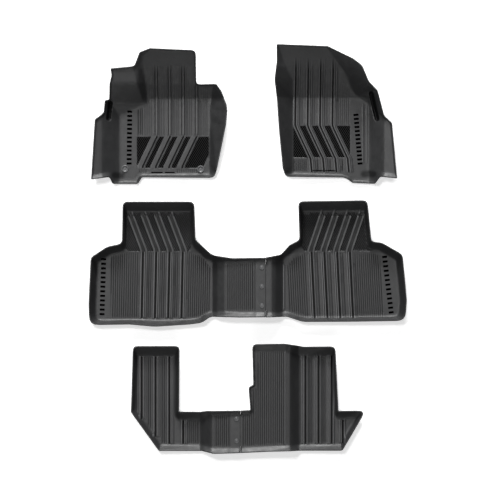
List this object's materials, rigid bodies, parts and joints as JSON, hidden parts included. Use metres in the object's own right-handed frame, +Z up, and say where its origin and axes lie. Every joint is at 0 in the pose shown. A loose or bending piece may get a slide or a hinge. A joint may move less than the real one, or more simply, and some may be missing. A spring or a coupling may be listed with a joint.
{
  "type": "floor mat set",
  "caption": "Moulded rubber floor liners for a three-row car: deep trays for the front seats, and joined two-piece trays for the second and third rows.",
  "frame": {"origin": "the middle of the set's footprint, on the ground", "axes": "+X to the car's right, +Y to the car's front, +Z up"},
  "size_m": [1.3976, 1.7966, 0.1662],
  "materials": {
    "mat_rubber": "matte, finely grained",
    "fastener_plastic": "satin"
  },
  "bodies": {
    "second_row_right": {"second_row_right_mat": "mat_rubber", "second_row_snap_washer_1": "fastener_plastic", "second_row_snap_washer_2": "fastener_plastic", "second_row_snap_washer_3": "fastener_plastic"},
    "second_row_left": {"second_row_left_mat": "mat_rubber"},
    "third_row_right": {"third_row_right_mat": "mat_rubber", "third_row_snap_washer_1": "fastener_plastic", "third_row_snap_washer_2": "fastener_plastic"},
    "third_row_left": {"third_row_left_mat": "mat_rubber"},
    "driver": {"driver_mat": "mat_rubber", "left_retainer_cap": "fastener_plastic", "right_retainer_cap": "fastener_plastic", "left_lock_ring": "fastener_plastic", "right_lock_ring": "fastener_plastic"},
    "passenger": {"passenger_mat": "mat_rubber"},
    "second_row_pin_1": {"second_row_snap_pin_1": "fastener_plastic"},
    "second_row_pin_2": {"second_row_snap_pin_2": "fastener_plastic"},
    "second_row_pin_3": {"second_row_snap_pin_3": "fastener_plastic"},
    "third_row_pin_1": {"third_row_snap_pin_1": "fastener_plastic"},
    "third_row_pin_2": {"third_row_snap_pin_2": "fastener_plastic"}
  },
  "joints": [
    {"name": "driver_mat_lift", "type": "slide", "parent": "second_row_right", "child": "driver", "axis": [0, 0, 1], "range_m": [0, 0.25]},
    {"name": "passenger_mat_lift", "type": "slide", "parent": "second_row_right", "child": "passenger", "axis": [0, 0, 1], "range_m": [0, 0.25]},
    {"name": "second_row_left_lift", "type": "slide", "parent": "second_row_right", "child": "second_row_left", "axis": [0, 0, 1], "range_m": [0, 0.25]},
    {"name": "third_row_lift", "type": "slide", "parent": "second_row_right", "child": "third_row_right", "axis": [0, 0, 1], "range_m": [0, 0.25]},
    {"name": "third_row_left_lift", "type": "slide", "parent": "third_row_right", "child": "third_row_left", "axis": [0, 0, 1], "range_m": [0, 0.25]},
    {"name": "second_row_snap_pull_1", "type": "slide", "parent": "second_row_left", "child": "second_row_pin_1", "axis": [0, 0, 1], "range_m": [0, 0.02]},
    {"name": "second_row_snap_pull_2", "type": "slide", "parent": "second_row_left", "child": "second_row_pin_2", "axis": [0, 0, 1], "range_m": [0, 0.02]},
    {"name": "second_row_snap_pull_3", "type": "slide", "parent": "second_row_left", "child": "second_row_pin_3", "axis": [0, 0, 1], "range_m": [0, 0.02]},
    {"name": "third_row_snap_pull_1", "type": "slide", "parent": "third_row_left", "child": "third_row_pin_1", "axis": [0, 0, 1], "range_m": [0, 0.02]},
    {"name": "third_row_snap_pull_2", "type": "slide", "parent": "third_row_left", "child": "third_row_pin_2", "axis": [0, 0, 1], "range_m": [0, 0.02]}
  ]
}
